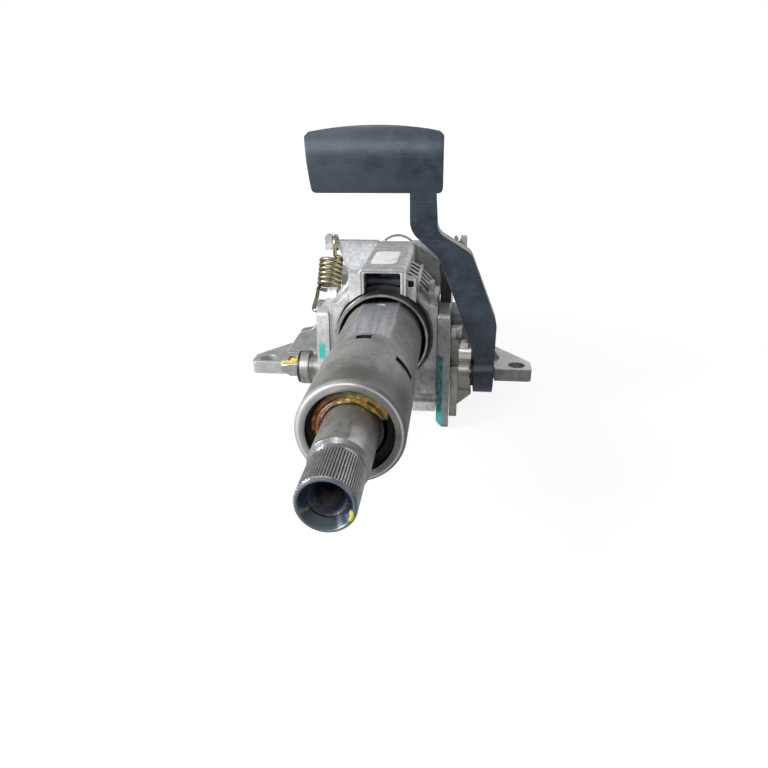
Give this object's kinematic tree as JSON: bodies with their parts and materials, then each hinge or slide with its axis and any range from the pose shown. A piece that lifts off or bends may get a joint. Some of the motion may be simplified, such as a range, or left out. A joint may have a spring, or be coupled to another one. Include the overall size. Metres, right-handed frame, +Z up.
{
  "type": "steering column",
  "caption": "Manual tilt and telescope steering column: splined shaft in a sliding tube, cast jacket in an eared bracket, clamped by a cross bolt with a cam lever.",
  "frame": {"origin": "midpoint between the two ear holes, on the mounting face under the ears", "axes": "+Z up from the mounting face, towards the raised lever; -Y towards the steering wheel along the column; +X towards the lever side"},
  "size_m": [0.1864, 0.405, 0.1775],
  "materials": {
    "cast_aluminium": "as cast",
    "steel": "oiled",
    "bright_steel": "ground",
    "black_plastic": "satin",
    "zinc_wire": "yellow zinc"
  },
  "bodies": {
    "bracket": {"mounting_bracket": "cast_aluminium", "lever_bumper": "black_plastic", "pivot_bolts": "steel", "tilt_spring_left": "zinc_wire", "tilt_spring_right": "zinc_wire"},
    "jacket": {"lower_jacket": "cast_aluminium", "pivot_bushes": "black_plastic", "mouth_seal": "black_plastic", "guide_sleeve": "bright_steel", "front_bush": "black_plastic", "rear_bush": "black_plastic", "telescope_stop": "black_plastic", "rail_end_clip": "bright_steel", "clamp_bolt": "steel", "slot_spacer": "steel", "thick_washer": "bright_steel", "nut_washer": "steel", "clamp_nut": "bright_steel", "lock_plate": "steel", "fixed_cam": "steel", "lower_outer_ring": "bright_steel", "lower_balls": "bright_steel", "lower_snap_ring": "steel"},
    "lever": {"clamp_lever": "black_plastic", "lever_cam": "steel"},
    "tube": {"upper_tube": "steel", "telescope_guide": "black_plastic", "grease_seal": "black_plastic", "upper_outer_ring": "bright_steel", "upper_balls": "bright_steel", "upper_snap_ring": "steel"},
    "upper_shaft": {"upper_shaft": "steel", "wedge_ring": "black_plastic", "upper_inner_ring": "bright_steel"},
    "lower_shaft": {"lower_shaft": "steel", "lower_inner_ring": "bright_steel", "shaft_snap_ring": "steel"}
  },
  "joints": [
    {"name": "tilt", "type": "hinge", "parent": "bracket", "child": "jacket", "pos_m": [0, 0.101, 0.04], "axis": [1, 0, 0], "range_deg": [-3.5, 3.5], "deforming": ["tilt_spring_left", "tilt_spring_right"]},
    {"name": "lever_turn", "type": "hinge", "parent": "jacket", "child": "lever", "pos_m": [0, -0.022, 0.0114], "axis": [1, 0, 0], "range_deg": [0, 45]},
    {"name": "telescope", "type": "slide", "parent": "jacket", "child": "tube", "axis": [0, 1, 0], "range_m": [-0.02, 0.025]},
    {"name": "upper_turn", "type": "hinge", "parent": "tube", "child": "upper_shaft", "pos_m": [0, 0, 0.04], "axis": [0, 1, 0], "continuous": true},
    {"name": "lower_turn", "type": "hinge", "parent": "jacket", "child": "lower_shaft", "pos_m": [0, 0, 0.04], "axis": [0, 1, 0], "continuous": true}
  ],
  "couplings": [
    {"joint": "lower_turn", "follows": "upper_turn", "ratio": 1}
  ]
}
